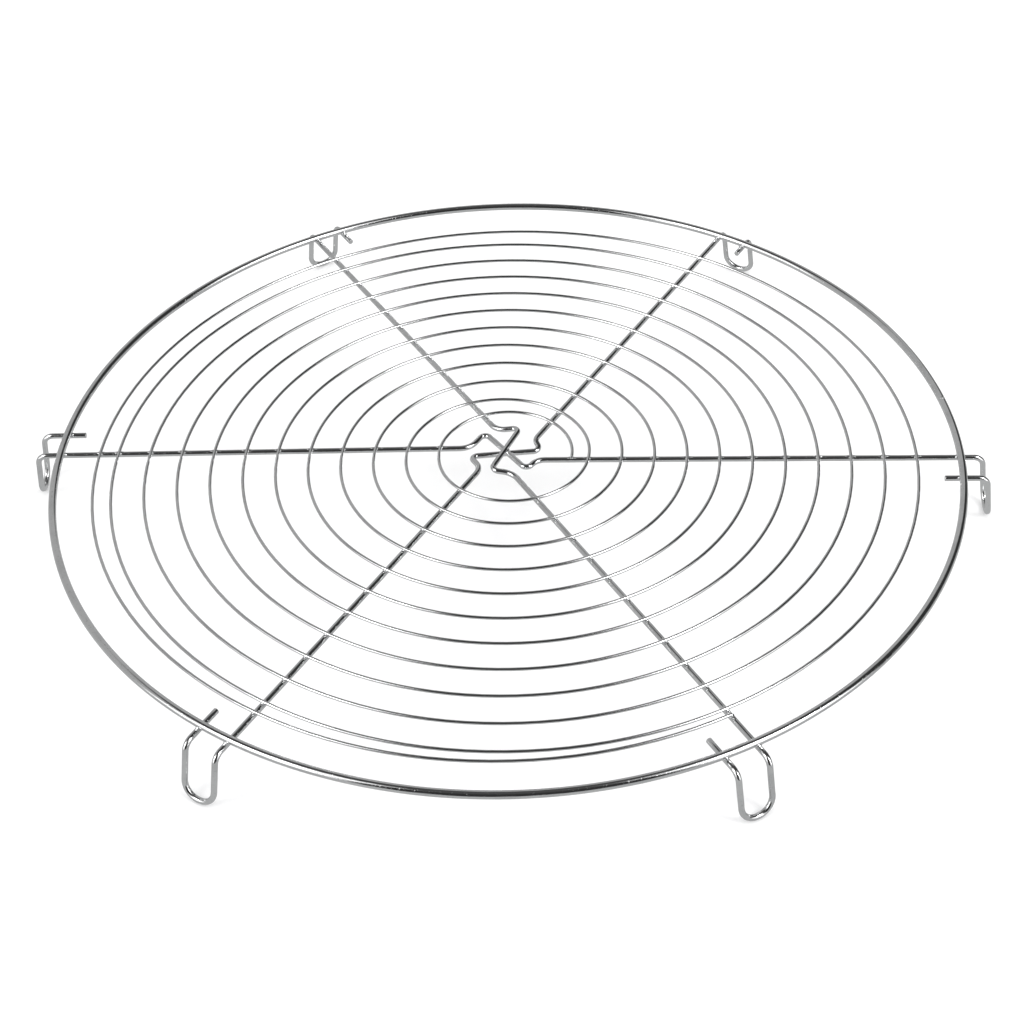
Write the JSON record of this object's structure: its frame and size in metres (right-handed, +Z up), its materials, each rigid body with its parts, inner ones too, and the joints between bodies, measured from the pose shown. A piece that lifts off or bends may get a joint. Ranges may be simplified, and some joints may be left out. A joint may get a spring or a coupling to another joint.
{
  "type": "cooling rack",
  "caption": "Round wire cooling rack: a thin-wire spiral and a rim ring welded on top of crossed support wires whose ends are bent into U-shaped feet.",
  "frame": {"origin": "on the surface the rack stands on, under the centre of the rim", "axes": "+Z up, from the feet to the cooling surface; +X along one support wire, out through a foot at its right-hand end; +Y away from the user, +Z completing the right-handed frame"},
  "size_m": [0.3402, 0.32, 0.0228],
  "materials": {
    "plated_wire": "bright plated steel wire"
  },
  "bodies": {
    "root": {"rim_ring": "plated_wire", "spiral_wire": "plated_wire", "support_wire_upper": "plated_wire", "support_wire_middle": "plated_wire", "support_wire_lower": "plated_wire"}
  },
  "joints": []
}
